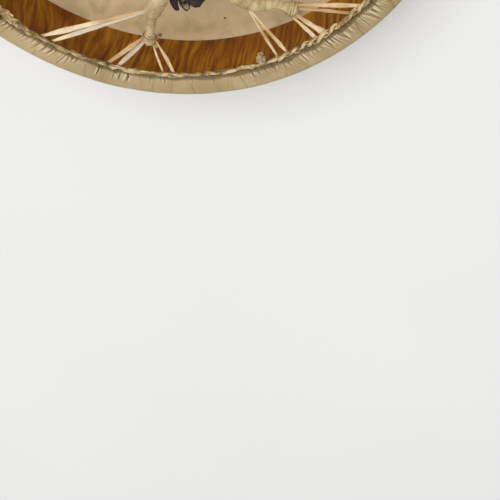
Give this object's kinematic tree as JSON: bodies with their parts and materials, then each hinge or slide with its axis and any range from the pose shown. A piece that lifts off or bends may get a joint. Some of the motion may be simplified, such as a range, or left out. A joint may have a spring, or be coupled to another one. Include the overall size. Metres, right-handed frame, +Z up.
{
  "type": "shaman drum",
  "caption": "Round frame drum with a hide head on a bent wooden hoop, lying head down, its open back laced with rawhide to a branched hand-hold cross.",
  "frame": {"origin": "on the floor under the drum's axis, at the centre of the head's outer face", "axes": "+Z up along the drum's axis from the head to the open laced back; -Y along the hand hold's tied arm"},
  "size_m": [0.4, 0.4, 0.0687],
  "materials": {
    "hide": "dry stretched goat rawhide, matte, mottled",
    "hoop_wood": "stained and lightly varnished bent wood with streaky grain",
    "rawhide": "dried rawhide strip, pale cream, satin",
    "dark_leather": "dark aubergine-brown leather, soft sheen"
  },
  "bodies": {
    "root": {"hide": "hide", "hoop": "hoop_wood", "edge_lace": "rawhide", "rawhide_cross": "rawhide", "leather_grip": "dark_leather", "leather_tie": "dark_leather", "rim_knot": "rawhide", "lace_pair_01": "rawhide", "lace_pair_02": "rawhide", "lace_pair_03": "rawhide", "lace_pair_04": "rawhide", "lace_pair_05": "rawhide", "lace_pair_06": "rawhide", "lace_pair_07": "rawhide", "lace_pair_08": "rawhide", "lace_pair_09": "rawhide", "lace_pair_10": "rawhide", "lace_pair_11": "rawhide", "lace_pair_12": "rawhide", "lace_pair_13": "rawhide", "lace_pair_14": "rawhide", "lace_pair_15": "rawhide", "lace_pair_16": "rawhide", "lace_pair_17": "rawhide", "lace_pair_18": "rawhide", "lace_pair_19": "rawhide", "lace_pair_20": "rawhide", "lace_pair_21": "rawhide", "lace_pair_22": "rawhide", "lace_pair_23": "rawhide", "lace_pair_24": "rawhide"}
  },
  "joints": []
}
